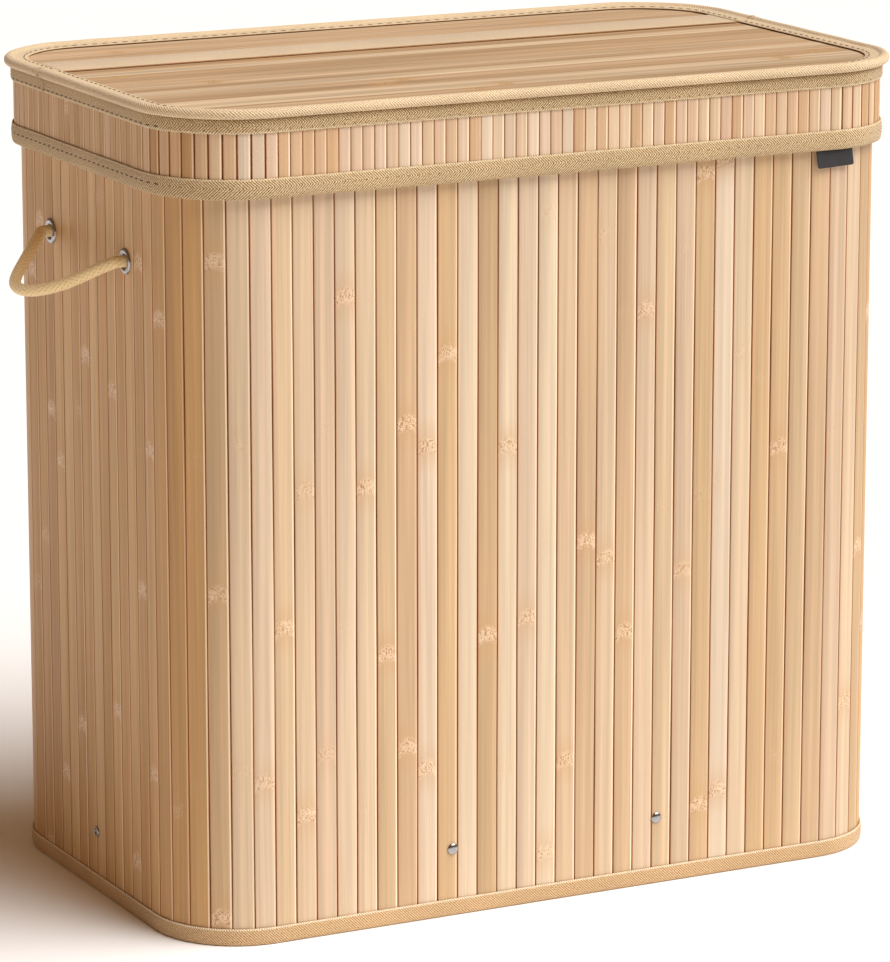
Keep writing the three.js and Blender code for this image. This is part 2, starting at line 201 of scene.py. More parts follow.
    # painted shade: both edges are browned to darken the gaps between slats, the left over a wider strip
    toLeft = addNode(tree, "MapRange", {1: 0.8 * mm / slatWide, 2: 0.25 * mm / slatWide, 3: 0.0, 4: 0.6,
                                        0: across})
    toRight = addNode(tree, "MapRange", {1: 1 - 0.3 * mm / slatWide, 2: 1 - 0.05 * mm / slatWide,
                                         3: 0.0, 4: 1.0, 0: across})
    edge = addNode(tree, "Math", {"operation": "MAXIMUM", 0: toLeft, 1: toRight})
    edgeShaded = addNode(tree, "Mix", {"data_type": "RGBA", 7: linearColor(edgeShadeTone), 0: edge,
                                    6: knuckled.outputs[2]})
    # painted highlight: most slats show a pale line along the right edge
    lineIn = addNode(tree, "MapRange", {1: 1 - 1.5 * mm / slatWide, 2: 1 - 1.2 * mm / slatWide, 3: 0.0,
                                        4: highlightLine, 0: across})
    lineOut = addNode(tree, "MapRange", {1: 1 - 0.45 * mm / slatWide, 2: 1 - 0.3 * mm / slatWide,
                                         3: 1.0, 4: 0.0, 0: across})
    line = addNode(tree, "Math", {"operation": "MULTIPLY", 0: lineIn, 1: lineOut})
    hasHighlight = addNode(tree, "TexWhiteNoise", {"noise_dimensions": "1D", "W": shiftSeed})
    highlightAmount = addNode(tree, "Math", {"operation": "MULTIPLY", 0: line, 1: hasHighlight})
    finished = addNode(tree, "Mix", {"data_type": "RGBA", 7: linearColor("#fff0cf"), 0: highlightAmount,
                                     6: edgeShaded.outputs[2]})
    rough = addNode(tree, "MapRange", {1: 0.3, 2: 0.7, 3: 0.58, 4: 0.44, 0: fibre})
    relief = addNode(tree, "Math", {"operation": "MULTIPLY_ADD", 1: 1.6, 0: fleck, 2: fibre})
    reliefHere = addNode(tree, "Mix", {"data_type": "FLOAT", 0: knuckle, 2: fibre, 3: relief})
    bump = addNode(tree, "Bump", {"Strength": 0.5, "Distance": 0.14 * mm, "Height": reliefHere})
    setNode(tree, surface, {"Base Color": finished.outputs[2], "Roughness": rough, "Normal": bump})
    return material


def tapeMaterial(name, light, base, dark, ribPitch=2.1 * mm, foldAt=7 * mm, selvedge=None):
    # cotton herringbone tape, woven: soft sheen, slanted ribs that turn over at the fold line.
    # The real ribs are about 1 mm apart and are drawn coarser, so that they show
    material, tree, surface = newMaterial(name, Roughness=0.85, IOR=1.45, Sheen_Weight=0.2,
                                          Sheen_Roughness=0.5)
    uv = addNode(tree, "UVMap", {"uv_map": "tapeUV"})
    split = addNode(tree, "SeparateXYZ", {0: uv})
    along, across = split.outputs[0], split.outputs[1]
    fromFold = addNode(tree, "Math", {"operation": "SUBTRACT", 1: foldAt, 0: across})
    mirrored = addNode(tree, "Math", {"operation": "ABSOLUTE", 0: fromFold})
    slant = addNode(tree, "Math", {"operation": "ADD", 0: along, 1: mirrored})
    turns = addNode(tree, "Math", {"operation": "MULTIPLY", 1: 2 * math.pi / ribPitch, 0: slant})
    rib = addNode(tree, "Math", {"operation": "SINE", 0: turns})
    # threads that cross the ribs
    crossing = addNode(tree, "Math", {"operation": "SUBTRACT", 0: along, 1: mirrored})
    threadTurns = addNode(tree, "Math", {"operation": "MULTIPLY", 1: 2 * math.pi / ribPitch * 1.6,
                                         0: crossing})
    thread = addNode(tree, "Math", {"operation": "SINE", 0: threadTurns})
    weave = addNode(tree, "Math", {"operation": "MULTIPLY_ADD", 1: 0.5, 0: thread, 2: rib})
    grainPlace = addNode(tree, "VectorMath", {"operation": "SCALE", "Scale": 1 / (1.2 * mm), 0: uv})
    grain = addNode(tree, "TexNoise", {"Scale": 1.0, "Detail": 2.0, "Vector": grainPlace})
    mixed = addNode(tree, "Math", {"operation": "MULTIPLY_ADD", 1: 3.4, 0: grain, 2: weave})
    place = addNode(tree, "MapRange", {1: 0.45, 2: 2.95, 3: 0.0, 4: 1.0, 0: mixed})
    tone = addNode(tree, "ValToRGB", {"stops": [(0.0, dark), (0.45, base), (1.0, light)], 0: place})
    worn = addNode(tree, "TexNoise", {"Scale": 14.0, "Detail": 3.0, "Vector": uv})
    wornShade = addNode(tree, "MapRange", {1: 0.3, 2: 0.7, 3: 0.93, 4: 1.06, 0: worn})
    colour = addNode(tree, "Mix", {"data_type": "RGBA", "blend_type": "MULTIPLY", 0: 1.0, 6: tone,
                                   7: wornShade})
    last = colour.outputs[2]
    if selvedge:
        # loops of the woven edge, 1.8 mm apart
        loopTurns = addNode(tree, "Math", {"operation": "MULTIPLY", 1: 2 * math.pi / (1.8 * mm),
                                           0: along})
        loops = addNode(tree, "Math", {"operation": "SINE", 0: loopTurns})
        loopShow = addNode(tree, "MapRange", {1: -0.6, 2: 0.4, 3: 0.15, 4: 1.0, 0: loops})
        atEdge = addNode(tree, "MapRange", {1: 1.5 * mm, 2: 1.0 * mm, 3: 0.0, 4: 1.0, 0: across})
        loopAmount = addNode(tree, "Math", {"operation": "MULTIPLY", 0: loopShow, 1: atEdge})
        edged = addNode(tree, "Mix", {"data_type": "RGBA", 7: linearColor(selvedge), 0: loopAmount,
                                      6: last})
        last = edged.outputs[2]
    bump = addNode(tree, "Bump", {"Strength": 0.8, "Distance": 0.12 * mm, "Height": mixed})
    setNode(tree, surface, {"Base Color": last, "Normal": bump})
    return material


def clothMaterial(name, light, dark, threadPitch, roughness=0.9):
    # plain-woven cotton or polyester cloth: matt, with square threads and slight slubs
    material, tree, surface = newMaterial(name, Roughness=roughness, IOR=1.45, Sheen_Weight=0.2)
    place = addNode(tree, "TexCoord").outputs["Object"]
    fine = addNode(tree, "VectorMath", {"operation": "SCALE", "Scale": 2 * math.pi / threadPitch,
                                        0: place})
    split = addNode(tree, "SeparateXYZ", {0: fine})
    level = addNode(tree, "Math", {"operation": "SINE", 0: split.outputs[2]})
    sideSum = addNode(tree, "Math", {"operation": "ADD", 0: split, 1: split.outputs[1]})
    upright = addNode(tree, "Math", {"operation": "SINE", 0: sideSum})
    weave = addNode(tree, "Math", {"operation": "MULTIPLY", 0: level, 1: upright})
    slub = addNode(tree, "TexNoise", {"Scale": 160.0, "Detail": 3.0, "Vector": place})
    threads = addNode(tree, "Math", {"operation": "MULTIPLY_ADD", 1: 0.3, 0: weave, 2: slub})
    tone = addNode(tree, "ValToRGB", {"stops": [(0.2, dark), (0.8, light)], 0: threads})
    bump = addNode(tree, "Bump", {"Strength": 0.4, "Distance": 0.3 * mm, "Height": threads})
    setNode(tree, surface, {"Base Color": tone, "Normal": bump})
    return material


def ropeMaterial():
    # braided cotton rope: matt golden strands, with painted shade where they dip under each other, and
    # drawn paler overall as painted light
    material, tree, surface = newMaterial("cottonRope", Roughness=0.9, IOR=1.45, Sheen_Weight=0.35)
    height = addNode(tree, "Attribute", {"attribute_name": "braid"}).outputs["Fac"]
    place = addNode(tree, "TexCoord").outputs["Object"]
    fluff = addNode(tree, "TexNoise", {"Scale": 700.0, "Detail": 3.0, "Vector": place})
    mixed = addNode(tree, "Math", {"operation": "MULTIPLY_ADD", 1: 0.5, 0: fluff, 2: height})
    tone = addNode(tree, "ValToRGB", {"stops": [(0.2, "#c99d58"), (0.6, "#f4d394"), (1.0, "#ffe8b6")],
                                      0: mixed})
    bump = addNode(tree, "Bump", {"Strength": 0.6, "Distance": 0.3 * mm, "Height": fluff})
    setNode(tree, surface, {"Base Color": tone, "Normal": bump})
    return material


def metalMaterial(name, code, roughness, grain):
    # nickel-plated or drawn steel: bright metal with fine handling marks
    material, tree, surface = newMaterial(name, Metallic=1.0, Roughness=roughness,
                                          Base_Color=linearColor(code))
    place = addNode(tree, "TexCoord").outputs["Object"]
    marks = addNode(tree, "TexNoise", {"Scale": grain, "Detail": 4.0, "Vector": place})
    rough = addNode(tree, "MapRange", {1: 0.3, 2: 0.7, 3: roughness * 0.8, 4: roughness * 1.4,
                                       0: marks})
    setNode(tree, surface, {"Roughness": rough})
    return material


def mouldedMaterial(name, code, roughness):
    # injection-moulded polypropylene: even colour and a fine spark-eroded grain
    material, tree, surface = newMaterial(name, Roughness=roughness, IOR=1.49,
                                          Base_Color=linearColor(code))
    place = addNode(tree, "TexCoord").outputs["Object"]
    grain = addNode(tree, "TexNoise", {"Scale": 1800.0, "Detail": 2.0, "Vector": place})
    bump = addNode(tree, "Bump", {"Strength": 0.25, "Distance": 0.1 * mm, "Height": grain})
    setNode(tree, surface, {"Normal": bump})
    return material


def fibreboardMaterial():
    # hardboard, pressed from wood fibre: brown, matt, with short random fibres
    material, tree, surface = newMaterial("hardboard", Roughness=0.75, IOR=1.45)
    place = addNode(tree, "TexCoord").outputs["Object"]
    fibres = addNode(tree, "TexNoise", {"Scale": 320.0, "Detail": 5.0, "Distortion": 1.5,
                                        "Vector": place})
    tone = addNode(tree, "ValToRGB", {"stops": [(0.3, "#8a6a45"), (0.7, "#b8976b")], 0: fibres})
    bump = addNode(tree, "Bump", {"Strength": 0.2, "Distance": 0.2 * mm, "Height": fibres})
    setNode(tree, surface, {"Base Color": tone, "Normal": bump})
    return material


# tones run from the browner slats, which the short sides have as painted shade, to the paler ones of the
# long sides
paleFlecks = [(0.38, "#b5804f"), (0.46, "#d9b184"), (0.54, "#f6e3c8"), (0.66, "#e0bd94")]
wallTones = [(0.0, "#c4955c"), (0.12, "#d6aa70"), (0.24, "#cc9d62"), (0.34, "#dab078"),
             (0.42, "#d8b78c"), (0.5, "#cfae84"), (0.6, "#e0c5a0"), (0.7, "#d6b48d"),
             (0.8, "#e8d2b3"), (0.9, "#dcbfa0"), (1.0, "#ebd8bd")]
skirtTones = [(0.0, "#c3965f"), (0.3, "#d2a874"), (0.5, "#dcb892"), (0.65, "#e6ccaa"), (0.8, "#dfbea0"),
              (1.0, "#ead6bb")]
panelTones = [(0.0, "#bd986f"), (0.2, "#e3c29d"), (0.4, "#cca880"), (0.6, "#efd5b2"), (0.8, "#d4b18a"),
              (1.0, "#f2dcbc")]
panelFlecks = [(0.36, "#a0784c"), (0.48, "#c09a6c"), (0.6, "#d6b387")]
wallBamboo = bambooMaterial("bambooWall", wallTones, 15.4 * mm, 0.24)
skirtBamboo = bambooMaterial("bambooSkirt", skirtTones, 8.7 * mm, 0.3, knuckleShare=0.16)
panelBamboo = bambooMaterial("bambooPanel", panelTones, 15.7 * mm, 0.36, "#b28a5a", (0.82, 1.08), 0.35,
                             0.3, panelFlecks)
footTape = tapeMaterial("twillTapeFoot", "#ecd0a4", "#d0aa7c", "#986e42", foldAt=30 * mm,
                        selvedge="#f8ead0")
bandTape = tapeMaterial("twillTapeBand", "#f4e0b8", "#c0a070", "#745229", foldAt=6.3 * mm,
                        selvedge="#e6d3ac")
rollTape = tapeMaterial("twillTapeRoll", "#f8e6c6", "#e4caa2", "#b08c5c", 2.2 * mm, 50 * mm)
hingeTape = tapeMaterial("twillTapeHinge", "#efdcbf", "#dcc3a0", "#c0a47c", 1.6 * mm, 5 * mm)
backingCloth = clothMaterial("cottonBacking", "#d0905a", "#b4743f", 1.2 * mm)
liningCloth = clothMaterial("cottonLining", "#d9c7a6", "#bfa77f", 1.2 * mm)
linerCloth = clothMaterial("linerCloth", "#efe8d8", "#ddd3bd", 1.0 * mm)
labelCloth = clothMaterial("damaskLabel", "#303034", "#1e1e21", 0.8 * mm, 0.7)
hookCloth = clothMaterial("hookAndLoop", "#e9e0cc", "#cdc0a2", 1.5 * mm)
# the dark sewing thread is painted shade of the dips in the stitching
threadShadeDashes = clothMaterial("sewingThreadShade", "#564028", "#3a2a18", 0.6 * mm)
# the needle holes are dark dots, painted shade in the holes
needleHoleShade = clothMaterial("needleHolesShade", "#9a6a34", "#6e4826", 0.6 * mm)
# the crease web's orange-brown is a painted shadow line along the crease
creaseShadeWeb = clothMaterial("creaseShadeLine", "#b57f46", "#8f6032", 0.8 * mm)
cottonRope = ropeMaterial()
# the nickel is drawn darker than the plating itself, a painted dark reflection
shadedNickel = metalMaterial("nickelPlateDarkened", "#a9aaac", 0.18, 900)
drawnSteel = metalMaterial("drawnSteel", "#b4b6b8", 0.34, 500)
cleanPlastic = mouldedMaterial("polypropylene", "#e6ddc8", 0.5)
hardboard = fibreboardMaterial()
print("materials made:", len(bpy.data.materials))


# shared shaping

def planPlace(travel, out=0.0):
    # a point on the plan outline and its outward direction; travel starts at the front's middle
    travel = travel % planLength
    runs = [straightX, cornerRun, 2 * straightY, cornerRun, 2 * straightX, cornerRun, 2 * straightY,
            cornerRun, straightX]
    spot = Vector((0, -halfDepth, 0))
    heading = 0.0
    for index, run in enumerate(runs):
        step = min(run, travel)
        if index % 2 == 0:
            spot += Vector((math.cos(heading), math.sin(heading), 0)) * step
        else:
            turn = step / cornerRadius
            centre = spot + Vector((-math.sin(heading), math.cos(heading), 0)) * cornerRadius
            spot = centre + Matrix.Rotation(turn, 3, "Z") @ (spot - centre)
            heading += turn
        travel -= step
        if travel <= 1e-9:
            break
    outward = Vector((math.sin(heading), -math.cos(heading), 0))
    return spot + outward * out, outward


def growRing(bm, edges):
    # extrudes a ring of edges in place, ready for its new vertices to be moved
    grown = bmesh.ops.extrude_edge_only(bm, edges=edges)["geom"]
    verts = [item for item in grown if isinstance(item, bmesh.types.BMVert)]
    fresh = set(verts)
    return verts, [item for item in grown if isinstance(item, bmesh.types.BMEdge)
                   and item.verts[0] in fresh and item.verts[1] in fresh]


def edgesAlong(edges, axis, least):
    # the edges that reach further than this along one axis
    return [e for e in edges if abs(e.verts[0].co[axis] - e.verts[1].co[axis]) > least]


def roundEdges(bm, edges, offset, segments=2):
    bmesh.ops.bevel(bm, geom=edges, offset=offset, affect="EDGES", segments=segments, profile=0.5,
                    material=-1)


def newBlock(wide, deep, tall):
    bm = bmesh.new()
    bmesh.ops.create_cube(bm, size=1)
    bmesh.ops.scale(bm, vec=(wide, deep, tall), verts=bm.verts)
    return bm


def boxMiddle(low, high):
    return Vector([(a + b) / 2 for a, b in zip(low, high)])


def faceOutward(outward):
    # turns a shape that faces the front so that it faces outward, still upright
    return Matrix.Rotation(math.atan2(outward.x, -outward.y), 4, "Z")


def addPiece(name, bm, material, body, replaced=(), smooth=40):
    mesh = bpy.data.meshes.new(name)
    bm.to_mesh(mesh)
    bm.free()
    mesh.polygons.foreach_set("use_smooth", [True] * len(mesh.polygons))
    mesh.set_sharp_from_angle(angle=math.radians(smooth))
    mesh.materials.append(material)
    piece = bpy.data.objects.new(name, mesh)
    bpy.context.scene.collection.objects.link(piece)
    if body:
        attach(piece, body)
    if replaced:
        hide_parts(*replaced)
    return piece


def sweepPlan(section, straightSteps=14, cornerSteps=12, wander=0.0):
    # a closed section of (out, up) points carried round the plan, with its own length on tapeUV
    bm = bmesh.new()
    alongLayer = bm.verts.layers.float.new("along")
    acrossLayer = bm.verts.layers.float.new("across")
    verts = [bm.verts.new((0, -halfDepth - out, up)) for out, up in section]
    reach = 0.0
    for index, vert in enumerate(verts):
        if index:
            reach += (vert.co - verts[index - 1].co).length
        vert[acrossLayer] = reach
    edges = [bm.edges.new(pair) for pair in zip(verts, verts[1:] + verts[:1])]
    moves = []
    for side, (run, centre) in enumerate([
            (straightX, (straightX, -straightY)), (2 * straightY, (straightX, straightY)),
            (2 * straightX, (-straightX, straightY)), (2 * straightY, (-straightX, -straightY)),
            (straightX, None)]):
        heading = side * math.pi / 2
        steps = straightSteps if side in (1, 2, 3) else straightSteps // 2
        step = Vector((math.cos(heading), math.sin(heading), 0)) * (run / steps)
        moves += [("slide", step, run / steps)] * steps
        if centre:
            moves += [("turn", Vector((*centre, 0)), cornerRun / cornerSteps)] * cornerSteps
    travel = 0.0
    for kind, where, length in moves:
        verts, edges = growRing(bm, edges)
        if kind == "slide":
            bmesh.ops.translate(bm, vec=where, verts=verts)
        else:
            turn = Matrix.Rotation(math.pi / 2 / cornerSteps, 3, "Z")
            bmesh.ops.rotate(bm, cent=where, matrix=turn, verts=verts)
        travel += length
        for vert in verts:
            vert[alongLayer] = travel
    uv = bm.loops.layers.uv.new("tapeUV")
    for face in bm.faces:
        high = max(loop.vert[acrossLayer] for loop in face.loops)
        for loop in face.loops:
            across = loop.vert[acrossLayer]
            if high - across > reach * 0.5:
                across = reach + 0.5 * mm
            loop[uv].uv = (loop.vert[alongLayer], across)
    bmesh.ops.remove_doubles(bm, verts=bm.verts, dist=0.00002)
    for vert in bm.verts:
        vert.co.z += noise.noise(vert.co * 23) * wander
    bmesh.ops.recalc_face_normals(bm, faces=bm.faces)
    return bm


def slatTemplate(wide, thick, tall, cuts, rounding):
    # one slat on end, its outer face towards -Y, centred on the Z axis
    bm = newBlock(wide, thick, tall)
    roundEdges(bm, edgesAlong(bm.edges, 2, tall / 2), rounding)
    bmesh.ops.subdivide_edges(bm, edges=edgesAlong(bm.edges, 2, tall / 2), cuts=cuts,
                              use_grid_fill=True)
    uv = bm.loops.layers.uv.new("slatUV")
    for face in bm.faces:
        for loop in face.loops:
            co = loop.vert.co
            loop[uv].uv = (co.x / wide + 0.5, co.z + tall / 2)
    mesh = bpy.data.meshes.new("slat")
    bm.to_mesh(mesh)
    bm.free()
    return mesh


def addSlats(bm, template, place, seed, half, waver):
    # drops one slat into the mesh, with edges that waver a little
    seedLayer = bm.verts.layers.float.get("slatSeed") or bm.verts.layers.float.new("slatSeed")
    start = len(bm.verts)
    bm.from_mesh(template)
    bm.verts.ensure_lookup_table()
    for vert in bm.verts[start:]:
        side = 1 if vert.co.x > 0 else -1
        if abs(vert.co.x) > half * 0.8:
            vert.co.x += noise.noise(Vector((vert.co.z * 14, seed * 90, side * 5))) * waver
        vert.co = place @ vert.co
        vert[seedLayer] = seed


# rope handles

ropeRoute = [(6.4, 68, 0), (10.6, 65.6, -1.7), (15.4, 60.6, -4.7), (23.8, 51.8, -10.6),
             (34, 41, -17.4), (44, 28.5, -22.8), (51, 15, -26), (53.4, 0, -27.2)]
handles = {"left": -1, "right": 1}
handleZ = 488 * mm
eyeletY = 68 * mm
rope = {"radius": 4.25 * mm, "sides": 40, "step": 0.8 * mm, "strands": 8, "repeat": 5.2 * mm,
        "relief": 0.32 * mm, "inside": 12 * mm, "length": 0.218}
knot = {"scale": 2.4 * mm, "radius": 3.3 * mm, "in": 12.2 * mm, "steps": 72}


def curvePoints(points, step):
    # one smooth curve through the points, walked in even steps
    padded = [points[0] * 2 - points[1]] + points + [points[-1] * 2 - points[-2]]
    dense = []
    for a, b, c, d in zip(padded, padded[1:], padded[2:], padded[3:]):
        for k in range(40):
            t = k / 40
            dense.append(0.5 * (2 * b + (c - a) * t + (2 * a - 5 * b + 4 * c - d) * t ** 2
                                + (3 * b - a - 3 * c + d) * t ** 3))
    dense.append(points[-1])
    walked, carry = [dense[0]], 0.0
    for a, b in zip(dense, dense[1:]):
        carry += (b - a).length
        if carry >= step:
            walked.append(b)
            carry = 0.0
    return walked


def braidedTube(path, radius, sides, relief):
    bm = bmesh.new()
    angleLayer = bm.verts.layers.float.new("angle")
    braidLayer = bm.verts.layers.float.new("braid")
    heading = (path[1] - path[0]).normalized()
    turn = Vector((0, 0, 1)).rotation_difference(heading).to_matrix().to_4x4()
    ring = bmesh.ops.create_circle(bm, cap_ends=True, radius=radius, segments=sides,
                                   matrix=Matrix.Translation(path[0]) @ turn)["verts"]
    for index, vert in enumerate(ring):
        vert[angleLayer] = 2 * math.pi * index / sides
    edges = list(bm.edges)
    travel = 0.0
    for index in range(1, len(path)):
        ring, edges = growRing(bm, edges)
        ahead = (path[min(index + 1, len(path) - 1)] - path[index - 1]).normalized()
        bend = heading.rotation_difference(ahead).to_matrix()
        heading = ahead
        bmesh.ops.rotate(bm, cent=path[index - 1], matrix=bend, verts=ring)
        bmesh.ops.translate(bm, vec=path[index] - path[index - 1], verts=ring)
        travel += (path[index] - path[index - 1]).length
        for vert in ring:
            # strands cross over and under each other, eight each way round
            strand = vert[angleLayer] / (2 * math.pi) * rope["strands"]
            one = strand + travel / rope["repeat"]
            other = strand - travel / rope["repeat"] + 40   # 40 keeps it positive
            over = (math.floor(one) + math.floor(other)) % 2 == 0
            vert[braidLayer] = math.sin(math.pi * ((other if over else one) % 1))
    bmesh.ops.holes_fill(bm, edges=edges, sides=0)
    bmesh.ops.recalc_face_normals(bm, faces=bm.faces)
    bm.normal_update()
    for vert in bm.verts:
        vert.co += vert.normal * (vert[braidLayer] - 0.5) * relief
    return bm


def addHandle(word, side):
    half = [Vector((side * (halfLength + out * mm), along * mm, handleZ + up * mm))
            for out, along, up in ropeRoute]
    mirrored = [Vector((p.x, -p.y, p.z)) for p in reversed(half[:-1])]
    ends = [Vector((side * (halfLength - rope["inside"]), y, handleZ)) for y in (eyeletY, -eyeletY)]
    middle = [Vector((side * (halfLength - 2 * mm), y, handleZ)) for y in (eyeletY, -eyeletY)]
    path = curvePoints([ends[0], middle[0]] + half + mirrored + [middle[1], ends[1]], rope["step"])
    bm = braidedTube(path, rope["radius"], rope["sides"], rope["relief"])
    piece = addPiece("braided_rope_" + word, bm, cottonRope, None, ["rope_handle_" + word],
                     180)
    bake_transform(piece)
    for place, y in (("back", eyeletY), ("front", -eyeletY)):
        loop = []
        for index in range(knot["steps"]):
            t = 2 * math.pi * index / knot["steps"]
            flat = Vector((-math.sin(3 * t) * 0.9, math.sin(t) + 2 * math.sin(2 * t),
                           math.cos(t) - 2 * math.cos(2 * t)))
            loop.append(flat * knot["scale"] + Vector((side * (halfLength - knot["in"]), y, handleZ)))
        bm = braidedTube(loop + loop[:2], knot["radius"], 20, 0.2 * mm)
        addPiece(f"tied_knot_{word}_{place}", bm, cottonRope, "tub",
                              [f"rope_knot_{word}_{place}"], 180)


for word, side in handles.items():
    addHandle(word, side)
print("rope handles made")


# eyelets and rivets

eyelet = {"bore": 5.2 * mm, "flange": 9.5 * mm, "proud": 1.3 * mm, "inside": 4.9 * mm}
rivet = {"radius": 4.3 * mm, "proud": 1.7 * mm, "foot": 0.3 * mm, "shank": 1.5 * mm}


def spinPiece(name, profile, centre, outward, material, body, node):
    # a profile of (radius, out) points turned round an outward axis
    bm = bmesh.new()
    up = Vector((0, 0, 1))
    verts = [bm.verts.new(centre + up * r + outward * out) for r, out in profile]
    edges = [bm.edges.new(pair) for pair in zip(verts, verts[1:])]
    if profile[0][0] > 0:
        edges.append(bm.edges.new((verts[-1], verts[0])))
    bmesh.ops.spin(bm, geom=verts + edges, cent=centre, axis=outward, angle=2 * math.pi, steps=28,
                   use_merge=True)
    bmesh.ops.remove_doubles(bm, verts=bm.verts, dist=1e-6)
    bmesh.ops.recalc_face_normals(bm, faces=bm.faces)
    return addPiece(name, bm, material, body, [node], 50)


def arcProfile(inner, outer, base, proud, steps):
    # half ellipse from the inner to the outer radius, standing on the base
    middle, half = (inner + outer) / 2, (outer - inner) / 2
    return [(middle - half * math.cos(math.pi * k / steps), base + proud * math.sin(math.pi * k / steps))
            for k in range(steps + 1)]


def addFittings():
    ring = arcProfile(eyelet["bore"], eyelet["flange"], 0.3 * mm, eyelet["proud"], 8)
    barrel = eyelet["bore"] + 0.9 * mm
    ring += [(barrel, 0.3 * mm), (barrel, -4 * mm), (eyelet["flange"] - 0.6 * mm, -4 * mm),
             (eyelet["flange"] - 0.6 * mm, -eyelet["inside"]), (eyelet["bore"], -eyelet["inside"])]
    foot = rivet["foot"]
    dome = [(rivet["radius"] * math.sin(a), foot + rivet["proud"] * math.cos(a))
            for a in [math.pi / 2 * k / 7 for k in range(8)]]
    dome += [(rivet["shank"], foot), (rivet["shank"], -4.6 * mm), (0, -4.6 * mm)]
    hollow = [(0, -2.2 * mm), (1.7 * mm, -2.2 * mm)]
    hollow += arcProfile(1.9 * mm, rivet["radius"], foot, 1.0 * mm, 6)
    hollow += [(2.4 * mm, foot), (rivet["shank"] + 0.6 * mm, -4.6 * mm), (0, -4.6 * mm)]
    for word, side in handles.items():
        for place, y in (("back", eyeletY), ("front", -eyeletY)):
            spinPiece(f"eyelet_ring_{word}_{place}", ring, Vector((side * halfLength, y, handleZ)),
                      Vector((side, 0, 0)), shadedNickel, "tub", f"eyelet_{word}_{place}")
        for place, outward in (("front", (0, -1, 0)), ("back", (0, 1, 0)), ("side", (side, 0, 0))):
            centre = boxMiddle(*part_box(f"rivet_{place}_{word}"))
            if place == "side":
                centre.x = side * halfLength
            else:
                centre.y = outward[1] * halfDepth
            spinPiece(f"rivet_head_{place}_{word}", hollow if place == "side" else dome, centre,
                      Vector(outward), shadedNickel, "tub", f"rivet_{place}_{word}")


addFittings()
print("eyelets and rivets made")


# the tub's slats

wallSlats = {"count": 108, "gap": 0.8 * mm, "thick": 2.2 * mm, "cuts": 5, "round": 0.4 * mm,
             "waver": 0.42 * mm, "seed": 11, "shadeSideTones": (0, 0.36), "longTones": (0.4, 1)}


def buildSlatRing(settings, out, low, high):
    random.seed(settings["seed"])
    pitch = planLength / settings["count"]
    wide = (planLength + 2 * math.pi * out) / settings["count"] - settings["gap"]
    tall = high - low
    template = slatTemplate(wide, settings["thick"], tall, settings["cuts"], settings["round"])
    bm = bmesh.new()
    for index in range(settings["count"]):
        spot, outward = planPlace((index + 0.5) * pitch, out)
        onCorner = abs(spot.x) > straightX and abs(spot.y) > straightY
        sag = wide * wide / (8 * (cornerRadius + out)) if onCorner else 0
        depth = settings["thick"] / 2 + sag + random.uniform(0, 0.12) * mm
        centre = spot - outward * depth + Vector((0, 0, (low + high) / 2))
        place = Matrix.Translation(centre) @ faceOutward(outward)
        # painted shade: browner slats on the short sides, paler ones on the long sides
        shadeShare = min(max((abs(outward.x) - 0.35) / 0.45, 0), 1)
        lowTone, highTone = (long + (side - long) * shadeShare for side, long
                             in zip(settings["shadeSideTones"], settings["longTones"]))
        addSlats(bm, template, place, random.uniform(lowTone, highTone), wide / 2, settings["waver"])
    return bm


bm = buildSlatRing(wallSlats, 0.0, matLow[2], matTop)
addPiece("tub_slats", bm, wallBamboo, "tub", ["slat_mat"], 30)

skirtSlats = {"count": 188, "gap": 0.55 * mm, "thick": 1.9 * mm, "cuts": 1, "round": 0.35 * mm,
              "waver": 0.25 * mm, "seed": 23, "shadeSideTones": (0, 0.45), "longTones": (0.4, 1)}
bm = buildSlatRing(skirtSlats, skirtHigh[0] - halfLength, skirtLow[2], skirtHigh[2])
addPiece("lid_skirt_strips", bm, skirtBamboo, "lid", ["lid_skirt_slats"], 30)
print("upright slats made")


# the lid's top slats

panelSlats = {"pitch": 16.3 * mm, "gap": 0.4 * mm, "round": 0.35 * mm, "inset": 0.8 * mm, "seed": 5,
              "endSteps": 5}


def slatEnd(y, inset):
    # half length of the rounded panel at a given depth
    over = abs(y) - straightY
    radius = cornerRadius - inset
    if over <= 0:
        return straightX + radius
    return straightX + math.sqrt(max(radius * radius - over * over, 0))


